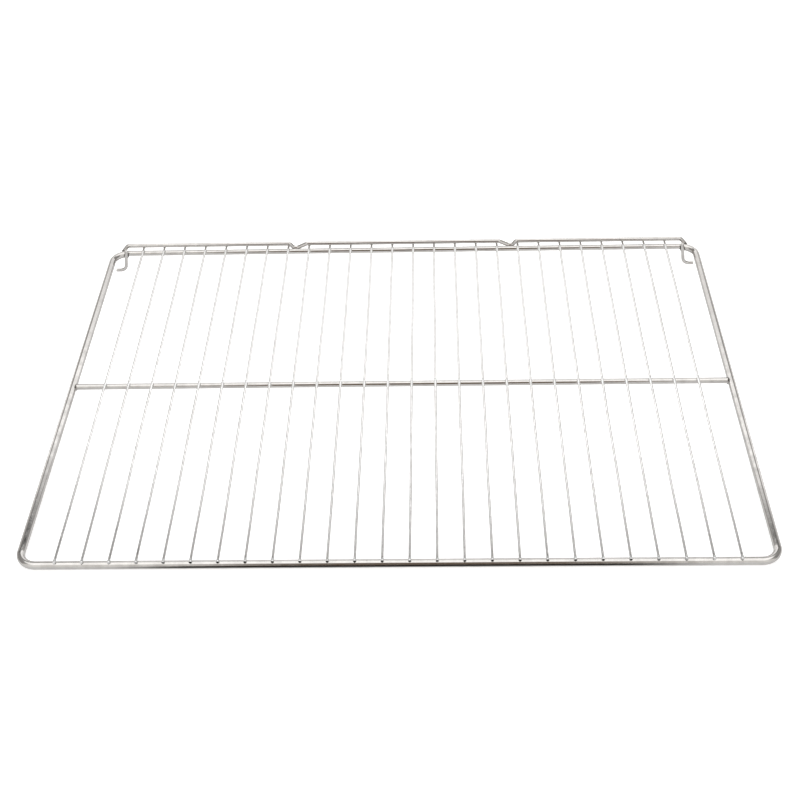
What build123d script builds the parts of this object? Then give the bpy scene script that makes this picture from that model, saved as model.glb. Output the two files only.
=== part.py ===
from build123d import *

from math import sqrt
import os

# Welded wire shelf for a bakery oven or cooling cabinet, in millimetres.
#
# The row frame has +X to the right, +Y to the back and +Z up. The origin is midway
# between the sides and between front and back, at the height of the hooks' lowest point.

INCH = 25.4

# Driving dimensions of the shelf
overall_width = 28.25 * INCH
overall_depth = 20.5 * INCH
frame_diameter = 5 / 16 * INCH
crossbar_diameter = 1 / 4 * INCH
stop_diameter = 3 / 16 * INCH
hook_diameter = 5 / 32 * INCH
grid_diameter = 2.68
grid_wire_count = 26
grid_pitch = 25.5
corner_radius = 17.0
weld_set_down = 0.25

# The raised stop runs this far behind the rear rail's centre line
stop_behind_rail = 5.1
# Each hook's lowest point is this far below the frame wire
hook_drop = 17.5
# How far each grid wire runs past the centre line of the outermost wire under or over it
grid_overhang = 2.2

frame_radius = frame_diameter / 2
crossbar_radius = crossbar_diameter / 2
stop_radius = stop_diameter / 2
hook_radius = hook_diameter / 2
grid_radius = grid_diameter / 2

# Heights of the wires' centre lines
frame_z = hook_drop + frame_radius
frame_top_z = hook_drop + frame_diameter
crossbar_z = frame_top_z - crossbar_radius
grid_z = frame_top_z + grid_radius - weld_set_down
stop_z = grid_z + grid_radius + stop_radius - weld_set_down

# Plan positions of the wires' centre lines
side_x = overall_width / 2 - frame_radius
front_y = -overall_depth / 2 + frame_radius
stop_y = overall_depth / 2 - stop_radius
rear_y = stop_y - stop_behind_rail
corner_centre_x = side_x - corner_radius
front_corner_y = front_y + corner_radius
rear_corner_y = rear_y - corner_radius


def wire_along(path, diameter):
    """A round wire along a path, cut square at both ends."""
    section = Plane(origin=path @ 0, z_dir=path % 0) * Circle(diameter / 2)
    return sweep(section, path=path)


def straight_wire(start, end, diameter):
    """A straight round wire."""
    return wire_along(Line(start, end), diameter)


def bent_wire(points, bend_radius, diameter):
    """A round wire along straight runs with equal bends between them."""
    return wire_along(FilletPolyline(*points, radius=bend_radius), diameter)


def frame_bend(x, y, start_angle):
    """A quarter turn of the frame wire about the vertical through (x, y)."""
    return wire_along(CenterArc((x, y, frame_z), corner_radius, start_angle, 90), frame_diameter)


def frame_run(start, end):
    """A straight run of the frame wire between two plan positions."""
    return straight_wire((*start, frame_z), (*end, frame_z), frame_diameter)


def make_frame_wire():
    """The heavy wire: front edge, both sides and four rounded corners, its ends turned in at the back.

    Its straight runs and its bends are separate solids that meet face to face.
    """
    pieces = [frame_run((-corner_centre_x, front_y), (corner_centre_x, front_y))]
    for side in (-1, 1):
        pieces.append(frame_run((side * side_x, front_corner_y), (side * side_x, rear_corner_y)))
    pieces.append(frame_bend(-corner_centre_x, front_corner_y, 180))
    pieces.append(frame_bend(corner_centre_x, front_corner_y, 270))
    pieces.append(frame_bend(corner_centre_x, rear_corner_y, 0))
    pieces.append(frame_bend(-corner_centre_x, rear_corner_y, 90))
    return Compound([piece.solid() for piece in pieces])


def make_rear_rail():
    """The straight wire butted between the frame wire's two ends, with its top level with theirs."""
    start = (-corner_centre_x, rear_y, crossbar_z)
    end = (corner_centre_x, rear_y, crossbar_z)
    return straight_wire(start, end, crossbar_diameter)


def make_mid_crossbar(frame_wire):
    """The wire across the middle, pressed a little into both sides when it is welded."""
    half_length = side_x - frame_radius + 2 * weld_set_down
    bar = straight_wire((-half_length, 0, crossbar_z), (half_length, 0, crossbar_z), crossbar_diameter)
    return bar - frame_wire


def stop_piece(profile, side=1):
    """A stretch of the raised stop through (x, z) points, mirrored to the left if side is -1."""
    bend_radius = 4.0
    points = [(side * x, stop_y, z) for x, z in profile]
    if len(points) == 2:
        return straight_wire(*points, stop_diameter)
    return bent_wire(points, bend_radius, stop_diameter)


def make_raised_stop(frame_wire):
    """The thin wire along the back, with two dips to the rear rail and both ends bent down.

    Each end is seated on the outside of a corner of the frame wire, where it is welded. The
    level runs, the dips and the ends are separate solids that meet face to face.
    """
    # Each dip lies between two grid wires, and rests against the back of the rear rail. It
    # falls gently from the middle of the shelf and rises steeply on its outer side.
    reach = crossbar_radius + stop_radius
    dip_z = crossbar_z + sqrt(reach**2 - stop_behind_rail**2)
    inner_wire_x = 4.5 * grid_pitch
    outer_wire_x = inner_wire_x + grid_pitch
    dip_start_x = inner_wire_x + 2.8
    dip_end_x = outer_wire_x - 2.3
    # The end's centre line stops one wire radius outside the frame wire's corner
    corner_reach = corner_radius + frame_radius + stop_radius
    end_x = corner_centre_x + sqrt(corner_reach**2 - (corner_radius + stop_behind_rail) ** 2)
    end_top_x = end_x - 7.0
    # Level wire on either side of a bend that belongs to the bend's solid
    level = 8.0
    dip = [
        (dip_start_x - level, stop_z),
        (dip_start_x, stop_z),
        (inner_wire_x + 14.3, dip_z),
        (outer_wire_x - 5.8, dip_z),
        (dip_end_x, stop_z),
        (dip_end_x + level, stop_z),
    ]
    outer_run = [(dip_end_x + level, stop_z), (end_top_x - level, stop_z)]
    end = [(end_top_x - level, stop_z), (end_top_x, stop_z), (end_x, frame_z)]
    middle_run = [(level - dip_start_x, stop_z), (dip_start_x - level, stop_z)]
    pieces = [stop_piece(middle_run)]
    for side in (-1, 1):
        pieces.append(stop_piece(dip, side))
        pieces.append(stop_piece(outer_run, side))
        pieces.append(stop_piece(end, side) - frame_wire)
    return Compound([piece.solid() for piece in pieces])


def make_hook(side):
    """A J of wire welded inside a rear corner; its foot turns outwards below the side wire."""
    bend_radius = 8.0
    top = (corner_centre_x + 0.8, frame_top_z + 5.0)
    heel = (corner_centre_x + 5.0, hook_radius)
    toe = (side_x + 0.3, hook_radius)
    # The stem's place where it passes the frame wire, which it touches on the inside of the bend
    share = (top[1] - frame_z) / (top[1] - heel[1])
    stem_x = top[0] + share * (heel[0] - top[0])
    bend_reach = corner_radius - frame_radius - hook_radius
    hook_y = rear_corner_y + sqrt(bend_reach**2 - (stem_x - corner_centre_x) ** 2)
    points = [(side * x, hook_y, z) for x, z in (top, heel, toe)]
    return bent_wire(points, bend_radius, hook_diameter)


def make_grid_wire(number, crossing_wires):
    """One thin wire from front to back, with a shallow seat at each wire that it is welded to."""
    x = (number - (grid_wire_count + 1) / 2) * grid_pitch
    start = (x, front_y - grid_overhang, grid_z)
    end = (x, stop_y + grid_overhang, grid_z)
    wire = straight_wire(start, end, grid_diameter)
    for crossing in crossing_wires:
        wire = wire - crossing
    return wire


def build_parts():
    """Every piece of the shelf, by name."""
    parts = {}
    parts["frame_wire"] = make_frame_wire()
    parts["rear_rail"] = make_rear_rail()
    parts["mid_crossbar"] = make_mid_crossbar(parts["frame_wire"])
    parts["raised_rear_stop"] = make_raised_stop(parts["frame_wire"])
    parts["left_hook"] = make_hook(-1)
    parts["right_hook"] = make_hook(1)
    crossing_names = ("frame_wire", "mid_crossbar", "rear_rail", "raised_rear_stop")
    crossing_wires = [parts[name] for name in crossing_names]
    for number in range(1, grid_wire_count + 1):
        parts[f"grid_wire_{number:02d}"] = make_grid_wire(number, crossing_wires)
    return parts


os.makedirs("parts", exist_ok=True)
for part_name, part in build_parts().items():
    export_step(part, f"parts/{part_name}.step")
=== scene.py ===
"""The looks of a welded wire shelf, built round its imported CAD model. Lengths are in metres."""

import random
from math import cos, exp, pi, radians, sin, sqrt, tan

import bpy
from mathutils import Matrix, Quaternion, Vector, noise


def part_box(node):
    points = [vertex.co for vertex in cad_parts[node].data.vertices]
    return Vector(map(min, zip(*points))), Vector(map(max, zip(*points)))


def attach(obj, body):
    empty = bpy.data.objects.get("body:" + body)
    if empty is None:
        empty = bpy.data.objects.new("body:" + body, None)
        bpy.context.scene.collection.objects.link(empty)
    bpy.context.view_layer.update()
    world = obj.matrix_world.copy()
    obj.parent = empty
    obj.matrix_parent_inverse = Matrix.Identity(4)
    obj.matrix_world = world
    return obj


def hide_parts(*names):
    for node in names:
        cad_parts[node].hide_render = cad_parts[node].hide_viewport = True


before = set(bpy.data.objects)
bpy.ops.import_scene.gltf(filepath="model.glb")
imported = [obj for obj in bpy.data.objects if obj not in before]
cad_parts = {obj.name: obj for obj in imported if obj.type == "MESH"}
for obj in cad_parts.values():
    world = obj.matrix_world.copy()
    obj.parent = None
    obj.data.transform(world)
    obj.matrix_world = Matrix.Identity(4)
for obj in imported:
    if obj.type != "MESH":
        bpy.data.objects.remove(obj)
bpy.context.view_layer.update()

MM = 0.001
UP = Vector((0, 0, 1))
BACK = Vector((0, 1, 0))

# ---------------------------------------------------------------- sizes, from the CAD nodes


def middle(node):
    """The middle of a CAD node's box."""
    low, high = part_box(node)
    return (low + high) / 2


def extent(node):
    """The size of a CAD node's box."""
    low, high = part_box(node)
    return high - low


frame_low, frame_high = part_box("frame_wire")
frame_radius = (frame_high.z - frame_low.z) / 2
frame_z = middle("frame_wire").z
side_x = frame_high.x - frame_radius
front_y = frame_low.y + frame_radius

crossbar_radius = extent("rear_rail").z / 2
crossbar_z = middle("rear_rail").z
rear_y = middle("rear_rail").y
corner_centre_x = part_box("rear_rail")[1].x
corner_radius = side_x - corner_centre_x
bar_y = middle("mid_crossbar").y
bar_end_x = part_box("mid_crossbar")[1].x

stop_radius = extent("raised_rear_stop").y / 2
stop_y = middle("raised_rear_stop").y
stop_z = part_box("raised_rear_stop")[1].z - stop_radius
hook_radius = extent("left_hook").y / 2
hook_y = middle("left_hook").y
hook_toe_x = max(abs(corner.x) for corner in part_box("right_hook"))

grid_names = sorted(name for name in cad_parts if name.startswith("grid_wire_"))
grid_xs = [middle(name).x for name in grid_names]
grid_pitch = (grid_xs[-1] - grid_xs[0]) / (len(grid_xs) - 1)
grid_radius = extent(grid_names[0]).x / 2
grid_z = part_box(grid_names[0])[1].z - grid_radius
grid_start_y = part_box(grid_names[0])[0].y
grid_end_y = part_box(grid_names[0])[1].y
weld_ys = [front_y, bar_y, rear_y, stop_y]

# How far two crossed wires are pressed into each other where they are welded
set_down = 0.25 * MM

# ---------------------------------------------------------------- wires


class WirePath:
    """A line of straight runs with a round bend between them, measured by its arc length."""

    shortest_leg = 0.001 * MM
    run_step = 12 * MM
    bend_step = radians(5)
    # Extra rings of the mesh, in radii from each weld and from each end
    near_weld = (0.0, 0.35, 0.7, 1.05, 1.4, 1.9, 2.6, 3.6, 5.0)
    near_end = (0.07, 0.18, 0.5)
    least_spacing = 0.03

    def __init__(self, corners, bend_radius=0.0):
        corners = [Vector(corner) for corner in corners]
        self.legs = []
        self.length = 0.0
        start = corners[0]
        for before, corner, after in zip(corners, corners[1:], corners[2:]):
            arriving = (corner - before).normalized()
            leaving = (after - corner).normalized()
            trim = bend_radius * tan(arriving.angle(leaving) / 2)
            self.add_run(start, corner - arriving * trim)
            self.add_bend(corner - arriving * trim, arriving, leaving, bend_radius)
            start = corner + leaving * trim
        self.add_run(start, corners[-1])

    def add_leg(self, length, step, at):
        """A stretch whose function at gives the place and the heading at a distance along it."""
        if length > self.shortest_leg:
            self.legs.append((self.length, length, step, at))
            self.length += length

    def add_run(self, start, end):
        heading = (end - start).normalized()
        self.add_leg((end - start).length, self.run_step, lambda d: (start + heading * d, heading))

    def add_bend(self, start, arriving, leaving, radius):
        axis = arriving.cross(leaving).normalized()
        arm = arriving.cross(axis) * radius
        centre = start - arm

        def at(distance):
            turn = Quaternion(axis, distance / radius)
            return centre + turn @ arm, turn @ arriving

        self.add_leg(radius * arriving.angle(leaving), radius * self.bend_step, at)

    def at(self, distance):
        """The place and the heading at a distance along the line."""
        for start, length, _, at in self.legs:
            if distance <= start + length:
                return at(max(distance - start, 0.0))
        return at(length)

    def nearest(self, place):
        """The distance along the line of its point nearest to a place."""
        steps = 4000
        tries = [self.length * i / steps for i in range(steps + 1)]
        return min(tries, key=lambda d: (self.at(d)[0] - place).length_squared)

    def stations(self, radius, welds):
        """Distances along the line for the rings of its mesh, closer together at welds and ends."""
        found = {0.0, self.length}
        for start, length, step, _ in self.legs:
            count = max(1, round(length / step))
            found.update(start + length * i / count for i in range(count + 1))
        for weld, _, _ in welds:
            for share in self.near_weld:
                found.update((weld - share * radius, weld + share * radius))
        for share in self.near_end:
            found.update((share * radius, self.length - share * radius))
        kept = []
        for distance in sorted(d for d in found if 0 <= d <= self.length):
            if not kept or distance - kept[-1] > self.least_spacing * radius:
                kept.append(distance)
        kept[-1] = self.length
        return kept


def add_mesh(name, points, faces, attributes):
    """A new smooth-shaded object from points and faces, with named numbers or vectors on its points."""
    mesh = bpy.data.meshes.new(name)
    mesh.from_pydata(points, [], faces)
    for key, values in attributes.items():
        if isinstance(values[0], float):
            mesh.attributes.new(key, "FLOAT", "POINT").data.foreach_set("value", values)
        else:
            flat = [number for vector in values for number in vector]
            mesh.attributes.new(key, "FLOAT_VECTOR", "POINT").data.foreach_set("vector", flat)
    mesh.shade_smooth()
    mesh.set_sharp_from_angle(angle=radians(50))
    piece = bpy.data.objects.new(name, mesh)
    bpy.context.scene.collection.objects.link(piece)
    return piece


# A cropped end leans out of square by this share of the radius, and its edge is worn:
# the wire's girth at two distances from the end, in radii, and on the end's face
crop_lean = (0.04, 0.1)
worn_girth = {0.0: 0.93, 0.07: 0.985}
face_girth = 0.55
face_rise = 0.02
# A weld's dent and its heat tint fade out over these lengths along the wire, in radii
dent_length = 1.3
tint_length = 2.6
weld_reach = 8
# The share of the dent's depth by which the wire spreads sideways
dent_spread = 0.45
# The share of the tint that is the same all round the wire
tint_all_round = 0.65


def drawn_wire(name, path, normal, radius, welds, sides, pressed=0.0, drift=None):
    """A drawn wire along a flat path whose plane has that normal, with cropped ends.

    welds holds (distance along the path, angle round the section from the normal to the other
    wire, heat). pressed is the share of the radius by which the electrode flattens the wire there,
    on the side away from the other wire. drift gives how far the wire's centre is off its line.
    """
    dice = random.Random(name)
    offset = dice.uniform(0, 50)
    points, along, heat, faces = [], [], [], []
    leans = {0.0: (dice.uniform(*crop_lean), dice.uniform(0, 2 * pi))}
    leans[path.length] = (dice.uniform(*crop_lean), dice.uniform(0, 2 * pi))

    def weld_marks(distance, angle, girth):
        """The wire's reach along the normal and across it, and its heat tint, at one point."""
        reach_up, reach_across, tint = girth, girth, 0.0
        for weld, towards, glow in welds:
            away = (distance - weld) / radius
            if abs(away) < weld_reach:
                press = pressed * exp(-((away / dent_length) ** 2))
                facing = max(0.0, -cos(angle - towards))
                reach_up -= press * facing**2
                reach_across += press * dent_spread
                round_about = tint_all_round + (1 - tint_all_round) * cos(angle - towards)
                tint = max(tint, glow * round_about * exp(-((away / tint_length) ** 2)))
        return reach_up, reach_across, tint

    def add_ring(distance, girth, rise=0.0):
        place, heading = path.at(distance)
        if drift:
            place = place + drift(place)
        across = heading.cross(normal)
        outwards = -1 if distance < path.length / 2 else 1
        for i in range(sides):
            angle = 2 * pi * i / sides
            reach_up, reach_across, tint = weld_marks(distance, angle, girth)
            spot = place + normal * (cos(angle) * radius * reach_up)
            spot = spot + across * (sin(angle) * radius * reach_across)
            if distance in leans:
                slope, turn = leans[distance]
                lean = slope * girth * radius * (1 + cos(angle - turn))
                spot = spot - heading * outwards * (lean + rise * radius)
            points.append(spot)
            along.append((cos(angle) * radius, sin(angle) * radius, distance + offset))
            heat.append(tint)

    add_ring(0.0, face_girth, face_rise)
    for distance in path.stations(radius, welds):
        from_end = min(distance, path.length - distance) / radius
        add_ring(distance, next((g for d, g in worn_girth.items() if abs(from_end - d) < 0.01), 1.0))
    add_ring(path.length, face_girth, face_rise)
    rings = len(points) // sides
    for ring in range(rings - 1):
        low, high = ring * sides, (ring + 1) * sides
        for i in range(sides):
            j = (i + 1) % sides
            faces.append((low + i, low + j, high + j, high + i))
    faces.append(tuple(reversed(range(sides))))
    faces.append(tuple(range((rings - 1) * sides, rings * sides)))
    return add_mesh(name, points, faces, {"along": along, "heat": heat})


# ---------------------------------------------------------------- welds


class WeldMesh:
    """Weld metal gathered into one piece."""

    # The gap in millimetres between two crossed wires at a fillet's edge, how uneven it is round
    # the crossing, how far the fillet is sunk into both wires, and how hollow its side is
    fillet_gap = (0.24, 0.42)
    fillet_unevenness = 0.45
    fillet_sunk = 0.06 * MM
    fillet_hollow = 0.55
    fillet_points = 40
    # A bead's lumps and ripples, as shares of its width
    bead_lumps = 0.18
    bead_ripples = 0.05
    bead_points = 20
    bead_steps = 14

    def __init__(self, name):
        self.name = name
        self.points, self.faces = [], []
        self.dice = random.Random(name)

    def add_rows(self, rows, ring_of_rows):
        """Faces between rows of points, each row a closed loop. The rows close up too, or get ends."""
        base = len(self.points)
        width = len(rows[0])
        for row in rows:
            self.points.extend(row)
        count = len(rows) if ring_of_rows else len(rows) - 1
        for r in range(count):
            low, high = base + r * width, base + (r + 1) % len(rows) * width
            for i in range(width):
                j = (i + 1) % width
                self.faces.append((low + i, low + j, high + j, high + i))
        if not ring_of_rows:
            self.faces.append(tuple(base + i for i in reversed(range(width))))
            self.faces.append(tuple(base + (len(rows) - 1) * width + i for i in range(width)))

    def cross_weld(self, place, lower_radius, upper_radius, lower_along_x=True, fullness=1.0):
        """The fillet squeezed out round two crossed wires. place is on top of the lower wire."""
        seed = self.dice.uniform(0, 1000)
        size = self.dice.uniform(*self.fillet_gap) * MM * fullness

        def facing_heights(angle, reach):
            """The heights of the lower wire's top and the upper wire's underside."""
            along_x, along_y = reach * cos(angle), reach * sin(angle)
            over_lower, over_upper = (along_y, along_x) if lower_along_x else (along_x, along_y)
            bottom = sqrt(max(lower_radius**2 - over_lower**2, 0)) - lower_radius
            top = upper_radius - sqrt(max(upper_radius**2 - over_upper**2, 0)) - set_down
            return bottom, top

        def reach_of(angle, gap):
            """How far from the crossing the two wires are that gap apart, by halving."""
            near, far = 0.0, min(lower_radius, upper_radius) * 3
            for _ in range(24):
                reach = (near + far) / 2
                bottom, top = facing_heights(angle, reach)
                if top - bottom < gap:
                    near = reach
                else:
                    far = reach
            return reach

        rows = [[] for _ in range(8)]
        for i in range(self.fillet_points):
            angle = 2 * pi * i / self.fillet_points
            lump = noise.noise(Vector((cos(angle), sin(angle), seed)) * 1.7)
            reach = reach_of(angle, size * (1 + self.fillet_unevenness * lump))
            bottom, top = facing_heights(angle, reach)
            foot, head = bottom - self.fillet_sunk, top + self.fillet_sunk
            inside = reach * 0.45
            profile = [(inside, foot), (reach, foot)]
            for share in (0.2, 0.4, 0.6, 0.8):
                pinch = self.fillet_hollow * (top - bottom) * sin(pi * share)
                profile.append((reach - pinch, bottom + share * (top - bottom)))
            profile += [(reach, head), (inside, head)]
            for row, (out, rise) in zip(rows, profile):
                row.append(place + Vector((out * cos(angle), out * sin(angle), rise)))
        self.add_rows(rows, ring_of_rows=True)

    def bead(self, place, axis, length, width):
        """A lump of weld metal along an axis, with the ripples of a short run."""
        axis = axis.normalized()
        side = axis.orthogonal().normalized()
        other = axis.cross(side)
        seed = self.dice.uniform(0, 1000)
        rows = []
        for step in range(1, self.bead_steps):
            turn = pi * step / self.bead_steps
            ripple = 1 + self.bead_ripples * cos(9 * turn)
            row = []
            for i in range(self.bead_points):
                angle = 2 * pi * i / self.bead_points
                where = Vector((cos(angle) * 1.2, sin(angle) * 1.2, 2 * cos(turn) + seed))
                swell = 1 + self.bead_lumps * noise.noise(where)
                reach = width / 2 * sin(turn) ** 0.8 * swell * ripple
                spot = place - axis * (length / 2 * cos(turn))
                row.append(spot + side * (reach * cos(angle)) + other * (reach * sin(angle)))
            rows.append(row)
        self.add_rows(rows, ring_of_rows=False)

    def make(self):
        """The finished piece. Its metal is as hot as a weld gets."""
        along = [(p.x, p.y, p.z) for p in self.points]
        heat = [1.0] * len(self.points)
        return add_mesh(self.name, self.points, self.faces, {"along": along, "heat": heat})


# ---------------------------------------------------------------- materials


class Nodes:
    """A short way to write a node tree."""

    def __init__(self, tree):
        self.tree = tree
        tree.nodes.clear()

    def add(self, kind, inputs=None, **settings):
        """A new node, with its settings and with its inputs linked or set."""
        node = self.tree.nodes.new(kind)
        for key, value in settings.items():
            setattr(node, key, value)
        for key, value in (inputs or {}).items():
            if isinstance(value, bpy.types.NodeSocket):
                self.tree.links.new(value, node.inputs[key])
            else:
                node.inputs[key].default_value = value
        return node

    def math(self, operation, a, b=0.0):
        return self.add("ShaderNodeMath", {0: a, 1: b}, operation=operation).outputs[0]

    def plus_share(self, value, share, extra):
        """value plus that share of extra."""
        return self.math("ADD", value, self.math("MULTIPLY", extra, share))

    def ramp(self, value, low, high, to_low=0.0, to_high=1.0):
        """value's place between low and high, mapped smoothly to to_low..to_high and held there."""
        inputs = {"Value": value, 1: low, 2: high, 3: to_low, 4: to_high}
        return self.add("ShaderNodeMapRange", inputs, interpolation_type="SMOOTHSTEP").outputs[0]

    def blend(self, share, a, b):
        """Colour a where share is 0, b where it is 1."""
        return self.add("ShaderNodeMix", {0: share, 6: a, 7: b}, data_type="RGBA").outputs[2]

    def noise(self, vector, scale, detail=2.0, roughness=0.5):
        inputs = {"Vector": vector, "Scale": scale, "Detail": detail, "Roughness": roughness}
        return self.add("ShaderNodeTexNoise", inputs).outputs["Fac"]

    def scaled(self, vector, factors):
        return self.add("ShaderNodeVectorMath", {0: vector, 1: factors}, operation="MULTIPLY").outputs[0]

    def split(self, vector):
        """The X, Y and Z of a vector."""
        return self.add("ShaderNodeSeparateXYZ", {0: vector}).outputs

    def mix_shaders(self, share, first, second):
        """The first shader where share is 0, the second where it is 1."""
        return self.add("ShaderNodeMixShader", {0: share, 1: first, 2: second}).outputs[0]


def new_material(name):
    """An empty material and its nodes."""
    material = bpy.data.materials.new(name)
    material.use_nodes = True
    return material, Nodes(material.node_tree)


stain_colour = (0.58, 0.56, 0.54, 1)
straw_colour = (0.52, 0.46, 0.39, 1)
# The burnt colour also paints shade at the grid wires' front ends
burnt_and_shade_colour = (0.13, 0.115, 0.10, 1)
pit_colour = (0.22, 0.2, 0.18, 1)
pit_depth = 0.012 * MM
scuff_depth = 0.004 * MM
waviness = 0.012 * MM


def plated_metal(name, bright, dull, least_rough, most_rough, line_depth):
    """Bright plate over drawn steel wire: drawing lines, clouding, pits, scuffs on top, tint at welds."""
    material, nodes = new_material(name)
    along = nodes.add("ShaderNodeAttribute", attribute_name="along").outputs["Vector"]
    heat = nodes.add("ShaderNodeAttribute", attribute_name="heat").outputs["Fac"]
    place = nodes.add("ShaderNodeTexCoord").outputs["Object"]
    upwards = nodes.split(nodes.add("ShaderNodeNewGeometry").outputs["Normal"])["Z"]

    # Fine lines along the wire from the drawing die
    lines = nodes.noise(nodes.scaled(along, (1.0, 1.0, 0.012)), 5200, detail=3)
    # Slow unevenness of the plate along the wire, and stains over the whole shelf
    cloud = nodes.noise(along, 95, detail=3, roughness=0.6)
    stain = nodes.noise(place, 21)
    # Small pits in the plate
    pits = nodes.ramp(nodes.noise(along, 1900, detail=1), 0.70, 0.77)
    # Short scuffs across the top, where trays slide over the shelf
    scuff_lines = nodes.noise(nodes.scaled(place, (1.0, 0.07, 1.0)), 2600)
    scuff_area = nodes.noise(place, 55)
    scuffs = nodes.math("MULTIPLY", nodes.ramp(scuff_lines, 0.58, 0.66), nodes.ramp(upwards, 0.72, 0.96))
    scuffs = nodes.math("MULTIPLY", scuffs, nodes.ramp(scuff_area, 0.48, 0.62))
    # The weld's heat leaves a straw tint some way off, and a darker one in the joint itself. At the grid
    # wires' front ends the darker one is painted shade as well
    straw = nodes.ramp(heat, 0.08, 0.5)
    burnt_and_shade = nodes.ramp(nodes.plus_share(heat, 0.3, cloud), 0.72, 1.15)

    colour = nodes.blend(nodes.ramp(cloud, 0.35, 0.7), bright, dull)
    colour = nodes.blend(nodes.ramp(stain, 0.52, 0.72, 0.0, 0.22), colour, stain_colour)
    colour = nodes.blend(nodes.math("MULTIPLY", straw, 0.3), colour, straw_colour)
    colour = nodes.blend(nodes.math("MULTIPLY", burnt_and_shade, 0.8), colour, burnt_and_shade_colour)
    colour = nodes.blend(nodes.math("MULTIPLY", pits, 0.5), colour, pit_colour)

    rough = nodes.ramp(cloud, 0.3, 0.75, least_rough, most_rough)
    rough = nodes.plus_share(rough, 0.05, lines)
    rough = nodes.plus_share(rough, 0.16, scuffs)
    rough = nodes.plus_share(rough, 0.22, burnt_and_shade)
    rough = nodes.plus_share(rough, 0.2, pits)

    height = nodes.math("MULTIPLY", lines, line_depth)
    height = nodes.plus_share(height, -pit_depth, pits)
    height = nodes.plus_share(height, -scuff_depth, scuffs)
    height = nodes.plus_share(height, waviness, nodes.noise(along, 420))
    bump = nodes.add("ShaderNodeBump", {"Height": height, "Distance": 1.0, "Strength": 1.0})

    inputs = {"Base Color": colour, "Roughness": rough, "Normal": bump.outputs[0], "Metallic": 1.0}
    shader = nodes.add("ShaderNodeBsdfPrincipled", inputs)
    nodes.add("ShaderNodeOutputMaterial", {"Surface": shader.outputs[0]})
    return material


heavy_plate = plated_metal(
    "heavy_wire_plate",
    bright=(0.64, 0.625, 0.61, 1),
    dull=(0.57, 0.555, 0.54, 1),
    least_rough=0.07,
    most_rough=0.16,
    line_depth=0.006 * MM,
)
thin_plate = plated_metal(
    "thin_wire_plate",
    bright=(0.83, 0.83, 0.83, 1),
    dull=(0.765, 0.762, 0.755, 1),
    least_rough=0.09,
    most_rough=0.19,
    line_depth=0.004 * MM,
)
weld_plate = plated_metal(
    "weld_plate",
    bright=(0.17, 0.16, 0.15, 1),
    dull=(0.10, 0.092, 0.085, 1),
    least_rough=0.24,
    most_rough=0.42,
    line_depth=0.01 * MM,
)


def finish_piece(piece, material, slot, *nodes):
    """Gives a piece its material, rides it on the shelf and hides the CAD nodes it stands for."""
    piece.data.materials.append(material)
    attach(piece, "root")
    if nodes:
        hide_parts(*nodes)


# ---------------------------------------------------------------- heavy wires

# How strongly the heat of each kind of joint tints the wires. The grid wires' front ends are darkened most,
# far past a weld's own heat: a weld tint there, made into painted shade for the shadow and dark reflection
# round the cut ends
cross_heat = 0.7
bar_end_heat = 1.0
stop_heat = 0.8
hook_heat = 1.0
grid_heat = 0.8
grid_front_tint_and_shade = 3.0


def make_frame_wire():
    """The bent wire round the front and the sides, with the grid wires welded on its front run."""
    corners = [
        (-corner_centre_x, rear_y, frame_z),
        (-side_x, rear_y, frame_z),
        (-side_x, front_y, frame_z),
        (side_x, front_y, frame_z),
        (side_x, rear_y, frame_z),
        (corner_centre_x, rear_y, frame_z),
    ]
    path = WirePath(corners, corner_radius)
    welds = [(path.nearest(Vector((x, front_y, frame_z))), 0.0, cross_heat) for x in grid_xs]
    for side in (-1, 1):
        inwards = side * pi / 2
        welds.append((path.nearest(Vector((side * side_x, bar_y, frame_z))), inwards, bar_end_heat))
    piece = drawn_wire("frame_wire_drawn", path, UP, frame_radius, welds, sides=36)
    finish_piece(piece, heavy_plate, "heavy_wire", "frame_wire")


def make_cross_wire(name, node, y, end_x):
    """A straight heavy wire from side to side, under the grid wires."""
    path = WirePath([(-end_x, y, crossbar_z), (end_x, y, crossbar_z)])
    welds = [(x + end_x, 0.0, cross_heat) for x in grid_xs]
    piece = drawn_wire(name, path, UP, crossbar_radius, welds, sides=32)
    finish_piece(piece, heavy_plate, "heavy_wire", node)


# Each of the stop's dips spans one gap between grid wires, with a longer slope on its inner side
dip_inner_x = 4.5 * grid_pitch
dip_outer_x = dip_inner_x + grid_pitch
dip_start_x = dip_inner_x + 2.8 * MM
dip_end_x = dip_outer_x - 2.3 * MM
dip_floor_start_x = dip_inner_x + 14.3 * MM
dip_floor_end_x = dip_outer_x - 5.8 * MM
dip_z = crossbar_z + sqrt((crossbar_radius + stop_radius) ** 2 - (stop_y - rear_y) ** 2)
# Its ends slope down to the frame wire over this width
stop_end_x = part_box("raised_rear_stop")[1].x - stop_radius * 0.8
stop_end_slope = 7 * MM
stop_bend_radius = 4 * MM


def make_raised_stop():
    """The thin wire along the back, over the grid wires, with two dips and its ends bent down."""
    half = [
        (dip_start_x, stop_z),
        (dip_floor_start_x, dip_z),
        (dip_floor_end_x, dip_z),
        (dip_end_x, stop_z),
        (stop_end_x - stop_end_slope, stop_z),
        (stop_end_x, frame_z),
    ]
    corners = [(-x, stop_y, z) for x, z in reversed(half)]
    corners += [(x, stop_y, z) for x, z in half]
    path = WirePath(corners, stop_bend_radius)
    welds = [(path.nearest(Vector((x, stop_y, stop_z))), pi / 2, stop_heat) for x in grid_xs]
    piece = drawn_wire("raised_rear_stop_drawn", path, BACK, stop_radius, welds, sides=28)
    finish_piece(piece, heavy_plate, "heavy_wire", "raised_rear_stop")


# A hook's stem stands up past the frame wire and leans outwards a little on its way down
hook_top_z = frame_z + frame_radius + 5 * MM
hook_top_x = corner_centre_x + 0.8 * MM
hook_heel_x = corner_centre_x + 5 * MM
hook_contact_x = corner_centre_x + 1.6 * MM
hook_bend_radius = 8 * MM


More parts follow.
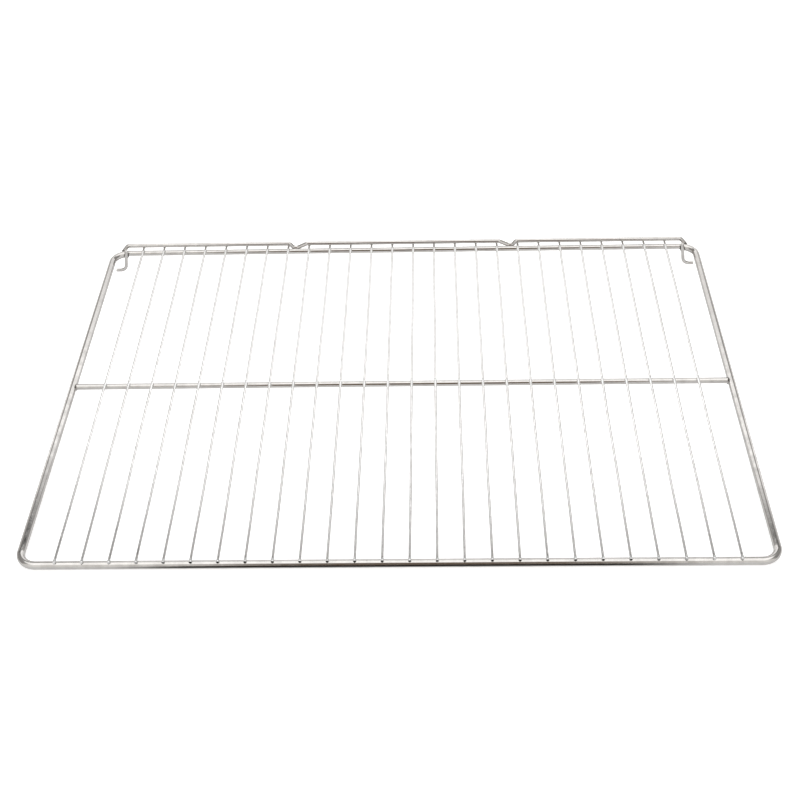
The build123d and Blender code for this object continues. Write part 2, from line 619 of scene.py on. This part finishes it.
def make_hook(name, node, side):
    """A J of wire inside a rear corner of the frame."""
    corners = [
        (side * hook_top_x, hook_y, hook_top_z),
        (side * hook_heel_x, hook_y, hook_radius),
        (side * hook_toe_x, hook_y, hook_radius),
    ]
    path = WirePath(corners, hook_bend_radius)
    contact = Vector((side * hook_contact_x, hook_y, frame_z))
    welds = [(path.nearest(contact), 0.0, hook_heat)]
    piece = drawn_wire(name, path, BACK, hook_radius, welds, sides=28)
    finish_piece(piece, heavy_plate, "heavy_wire", node)


make_frame_wire()
make_cross_wire("mid_crossbar_drawn", "mid_crossbar", bar_y, bar_end_x)
make_cross_wire("rear_rail_drawn", "rear_rail", rear_y, corner_centre_x)
make_raised_stop()
make_hook("left_hook_drawn", "left_hook", -1)
make_hook("right_hook_drawn", "right_hook", 1)

# ---------------------------------------------------------------- grid wires

# How far a grid wire strays sideways and up or down at most, in the middle of a long span
grid_wander = 0.5 * MM
grid_sag = 0.25 * MM
# It is held true at a weld, and free this far from it
held_length = 60 * MM
# The electrodes flatten it by this share of its radius
grid_pressed = 0.12


def make_grid_wire(node, x):
    """A thin wire from front to back, held true at its welds and a hair out of line between them."""
    seed = random.Random(node).uniform(0, 1000)

    def drift(place):
        freedom = 1.0
        for y in weld_ys:
            freedom *= min(1.0, abs(place.y - y) / held_length)
        wander = noise.noise(Vector((place.y * 9, seed, 0)))
        sag = noise.noise(Vector((place.y * 7, seed, 9)))
        return Vector((wander * grid_wander, 0, sag * grid_sag)) * freedom

    path = WirePath([(x, grid_start_y, grid_z), (x, grid_end_y, grid_z)])
    # The front weld's tint is made stronger than any weld's heat, as painted shade round the wire's cut end
    heats = [grid_front_tint_and_shade, grid_heat, grid_heat, grid_heat]
    welds = [(y - grid_start_y, pi, heat) for y, heat in zip(weld_ys, heats)]
    piece = drawn_wire(node + "_drawn", path, UP, grid_radius, welds, 20, grid_pressed, drift)
    finish_piece(piece, thin_plate, "thin_wire", node)


for grid_name, grid_x in zip(grid_names, grid_xs):
    make_grid_wire(grid_name, grid_x)

# ---------------------------------------------------------------- weld metal

# The welds on the frame's front run are squeezed out further than the others
front_fullness = 1.7


def make_grid_welds(name, y, lower_top_z, lower_radius, fullness=1.0):
    """The welds between the grid wires and one heavy wire below them."""
    welds = WeldMesh(name)
    for x in grid_xs:
        welds.cross_weld(Vector((x, y, lower_top_z)), lower_radius, grid_radius, fullness=fullness)
    finish_piece(welds.make(), weld_plate, "thin_wire")


def make_stop_welds():
    """The welds between the grid wires' rear ends and the raised stop on top of them."""
    welds = WeldMesh("raised_stop_welds")
    for x in grid_xs:
        place = Vector((x, stop_y, grid_z + grid_radius))
        welds.cross_weld(place, grid_radius, stop_radius, lower_along_x=False)
    finish_piece(welds.make(), weld_plate, "thin_wire")


def make_frame_welds():
    """The welds that join the heavy wires, the hooks and the stop to each other."""
    welds = WeldMesh("frame_welds")
    for side in (-1, 1):
        across = Vector((side, 0, 0))
        # Mid crossbar to the side of the frame, above and below
        bar_end = Vector((side * (side_x - frame_radius * 0.98), bar_y, crossbar_z))
        welds.bead(bar_end + UP * crossbar_radius * 0.55, BACK, length=6.4 * MM, width=2.6 * MM)
        welds.bead(bar_end - UP * crossbar_radius * 0.8, BACK, length=5.5 * MM, width=2.2 * MM)
        # Rear rail to the turned-in end of the frame, below and in front
        rail_end = Vector((side * corner_centre_x, rear_y, crossbar_z))
        welds.bead(rail_end - UP * crossbar_radius * 0.75, BACK, length=5.0 * MM, width=2.4 * MM)
        welds.bead(rail_end - BACK * crossbar_radius * 0.8, UP, length=4.6 * MM, width=2.2 * MM)
        # Stop's end to the outside of the frame's corner
        stop_foot = Vector((side * (stop_end_x - 1.2 * MM), stop_y - stop_radius * 0.7, frame_z + 1.2 * MM))
        welds.bead(stop_foot, UP + across * 0.4, length=6.0 * MM, width=2.4 * MM)
        # Hook's stem to the inside of the frame's corner, on both sides of the contact
        stem = Vector((side * (corner_centre_x + 2.2 * MM), hook_y + hook_radius * 0.62, frame_z))
        welds.bead(stem + across * hook_radius * 0.75, UP, length=6.2 * MM, width=2.2 * MM)
        welds.bead(stem - across * hook_radius * 0.75, UP, length=5.6 * MM, width=2.0 * MM)
        # Stop's dip to the back of the rear rail
        for x in (dip_floor_start_x + 1.0 * MM, dip_floor_end_x - 1.0 * MM):
            dip = Vector((side * x, (stop_y + rear_y) / 2 + 0.4 * MM, dip_z - 0.6 * MM))
            welds.bead(dip, across, length=3.6 * MM, width=2.0 * MM)
    finish_piece(welds.make(), weld_plate, "heavy_wire")


make_grid_welds("front_welds", front_y, frame_z + frame_radius, frame_radius, front_fullness)
make_grid_welds("mid_crossbar_welds", bar_y, crossbar_z + crossbar_radius, crossbar_radius)
make_grid_welds("rear_rail_welds", rear_y, crossbar_z + crossbar_radius, crossbar_radius)
make_stop_welds()
make_frame_welds()

# ---------------------------------------------------------------- floor and cards


def add_sheet(name, corners, material):
    """A flat four-cornered sheet of the studio, which isn't part of the shelf."""
    sheet = add_mesh(name, corners, [(0, 1, 2, 3)], {})
    sheet.data.materials.append(material)
    return sheet


def floor_under_shelf():
    """Where the floor touches the front wire from below, and its turn from level.

    The shelf stands on its front wire and its two hooks, so its floor is tilted a little.
    """
    front = Vector((0, front_y, frame_z))
    foot = Vector((0, hook_y, hook_radius))
    apart = foot - front
    # The line that touches both round wires from below
    lean = Vector((0, -apart.z, apart.y)).normalized()
    reach = (frame_radius - hook_radius) / apart.length
    down = -(lean * sqrt(1 - reach**2) + apart.normalized() * reach)
    return front + down * frame_radius, UP.rotation_difference(-down)


floor_touch, floor_tilt = floor_under_shelf()


def floor_rectangle(half_width, front, back, height=0.0):
    """A rectangle's corners on the floor, measured from the middle of its touch with the front wire."""
    plan = [(-half_width, front), (half_width, front), (half_width, back), (-half_width, back)]
    return [floor_touch + floor_tilt @ Vector((x, y, height)) for x, y in plan]


def make_floor():
    """A pale light table, plain white when it is looked at and less glaring in the plate."""
    material, nodes = new_material("pale_floor")

    def lit_sheet(paleness, strength):
        matt = nodes.add("ShaderNodeBsdfDiffuse", {"Color": (paleness, paleness, paleness, 1)})
        glow = nodes.add("ShaderNodeEmission", {"Color": (1.0, 1.0, 1.0, 1), "Strength": strength})
        return nodes.add("ShaderNodeAddShader", {0: matt.outputs[0], 1: glow.outputs[0]}).outputs[0]

    in_plate = lit_sheet(paleness=0.3, strength=0.56)
    looked_at = lit_sheet(paleness=0.9, strength=0.55)
    seen = nodes.add("ShaderNodeLightPath").outputs["Is Camera Ray"]
    surface = nodes.mix_shaders(seen, in_plate, looked_at)
    nodes.add("ShaderNodeOutputMaterial", {"Surface": surface})
    half = 30.0
    add_sheet("floor", floor_rectangle(half, -half, half), material)


def add_reflected_card(name, corners, material, nodes, here, face):
    """A soft-edged card with that face where here is 1. Only the plate shows it."""
    clear = nodes.add("ShaderNodeBsdfTransparent").outputs[0]
    nodes.add("ShaderNodeOutputMaterial", {"Surface": nodes.mix_shaders(here, clear, face)})
    card = add_sheet(name, corners, material)
    card.visible_camera = False
    card.visible_diffuse = False
    card.visible_shadow = False


def make_black_cloth():
    """A black cloth on the floor below the camera, which leaves the floor under the shelf bare."""
    material, nodes = new_material("black_cloth")
    place = nodes.split(nodes.add("ShaderNodeTexCoord").outputs["Object"])
    middle_x = 0.01
    from_middle = nodes.math("ABSOLUTE", nodes.math("SUBTRACT", place["X"], middle_x))
    in_front = nodes.ramp(place["Y"], front_y - 4.4 * MM, front_y - 7 * MM)
    here = nodes.math("MULTIPLY", nodes.ramp(from_middle, 0.30, 0.20), in_front)
    black = nodes.add("ShaderNodeBsdfDiffuse", {"Color": (0.03, 0.027, 0.024, 1)}).outputs[0]
    corners = floor_rectangle(half_width=0.5, front=-1.4, back=0.0, height=0.3 * MM)
    add_reflected_card("black_cloth", corners, material, nodes, here, black)


def make_grey_flags():
    """A grey card behind each side of the shelf, both on one clear sheet."""
    material, nodes = new_material("grey_flags")
    place = nodes.split(nodes.add("ShaderNodeTexCoord").outputs["Object"])
    sideways = nodes.math("ABSOLUTE", place["X"])
    here = nodes.math("MULTIPLY", nodes.ramp(sideways, 0.5, 0.95), nodes.ramp(sideways, 1.32, 1.1))
    here = nodes.math("MULTIPLY", here, nodes.ramp(place["Z"], 0.1, 0.35))
    grey = nodes.add("ShaderNodeEmission", {"Color": (0.30, 0.29, 0.28, 1), "Strength": 1.0}).outputs[0]
    half_width, back, low, high = 1.6, 1.0, 0.1, 1.4
    corners = [(-half_width, back, low), (half_width, back, low)]
    corners += [(half_width, back, high), (-half_width, back, high)]
    add_reflected_card("grey_flags", corners, material, nodes, here, grey)


# ---------------------------------------------------------------- light and camera

# Colours of the light that the plate reflects
dim_room = (0.36, 0.35, 0.34, 1)
front_room = (1.0, 0.98, 0.95, 1)
camera_gap = (0.19, 0.14, 0.105, 1)
band_foot = (0.62, 0.61, 0.60, 1)
band_top = (0.02, 0.018, 0.016, 1)
backdrop_edge = (1.6, 1.59, 1.58, 1)
backdrop_middle = (1.12, 1.11, 1.10, 1)
under_backdrop = (0.42, 0.41, 0.40, 1)
overhead = (1.56, 1.55, 1.53, 1)
plain_white = (1.2, 1.2, 1.2, 1)


def make_studio():
    """Soft light all round, by direction: a lit backdrop, a broad light overhead and a plain room."""
    world = bpy.data.worlds.new("studio")
    bpy.context.scene.world = world
    world.use_nodes = True
    nodes = Nodes(world.node_tree)
    direction = nodes.split(nodes.add("ShaderNodeTexCoord").outputs["Generated"])
    x, y, z = direction["X"], direction["Y"], direction["Z"]

    # The room: dim out to the sides, brighter in front
    light = nodes.blend(nodes.ramp(y, -0.2, -0.45), dim_room, front_room)
    # A band round the backdrop, which gets darker upwards
    band = nodes.blend(nodes.ramp(z, 0.36, 0.62), band_foot, band_top)
    light = nodes.blend(nodes.ramp(y, 0.56, 0.62), light, band)
    # The backdrop, brightest along its edge
    backdrop = nodes.blend(nodes.ramp(y, 0.74, 0.77), backdrop_edge, backdrop_middle)
    light = nodes.blend(nodes.ramp(y, 0.66, 0.70), light, backdrop)
    # It stands a little off the floor, and the room is dim under it
    gap = nodes.math("MULTIPLY", nodes.ramp(y, 0.90, 0.95), nodes.ramp(z, 0.30, 0.18))
    light = nodes.blend(gap, light, under_backdrop)
    # The overhead light
    light = nodes.blend(nodes.ramp(z, 0.775, 0.83), light, overhead)
    # The unlit gap in front, where the camera stands
    narrow = nodes.ramp(nodes.math("ABSOLUTE", x), 0.22, 0.11)
    slit = nodes.math("MULTIPLY", narrow, nodes.ramp(y, -0.40, -0.60))
    light = nodes.blend(slit, light, camera_gap)

    # What is looked at beyond the floor is plain white
    lit = nodes.add("ShaderNodeBackground", {"Color": light, "Strength": 1.0}).outputs[0]
    plain = nodes.add("ShaderNodeBackground", {"Color": plain_white, "Strength": 1.0}).outputs[0]
    seen = nodes.add("ShaderNodeLightPath").outputs["Is Camera Ray"]
    nodes.add("ShaderNodeOutputWorld", {"Surface": nodes.mix_shaders(seen, lit, plain)})


def make_camera():
    """A slightly long lens, looking down on the shelf from the front, a little right of its middle."""
    camera = bpy.data.objects.new("camera", bpy.data.cameras.new("camera"))
    bpy.context.scene.collection.objects.link(camera)
    camera.data.sensor_width = 36
    camera.data.lens = 58.23
    camera.data.clip_start = 0.05
    camera.data.clip_end = 100
    place = Vector((0.0377, -1.0621, 0.9247))
    pitch = radians(41.06)
    yaw = radians(-2.06)
    roll = radians(-1.92)
    turn = Matrix.Rotation(-yaw, 4, "Z") @ Matrix.Rotation(pi / 2 - pitch, 4, "X")
    turn = turn @ Matrix.Rotation(roll, 4, "Z")
    camera.matrix_world = Matrix.Translation(place) @ turn
    bpy.context.scene.camera = camera


make_floor()
make_black_cloth()
make_grey_flags()
make_studio()
make_camera()
bpy.context.scene.view_settings.view_transform = "Standard"
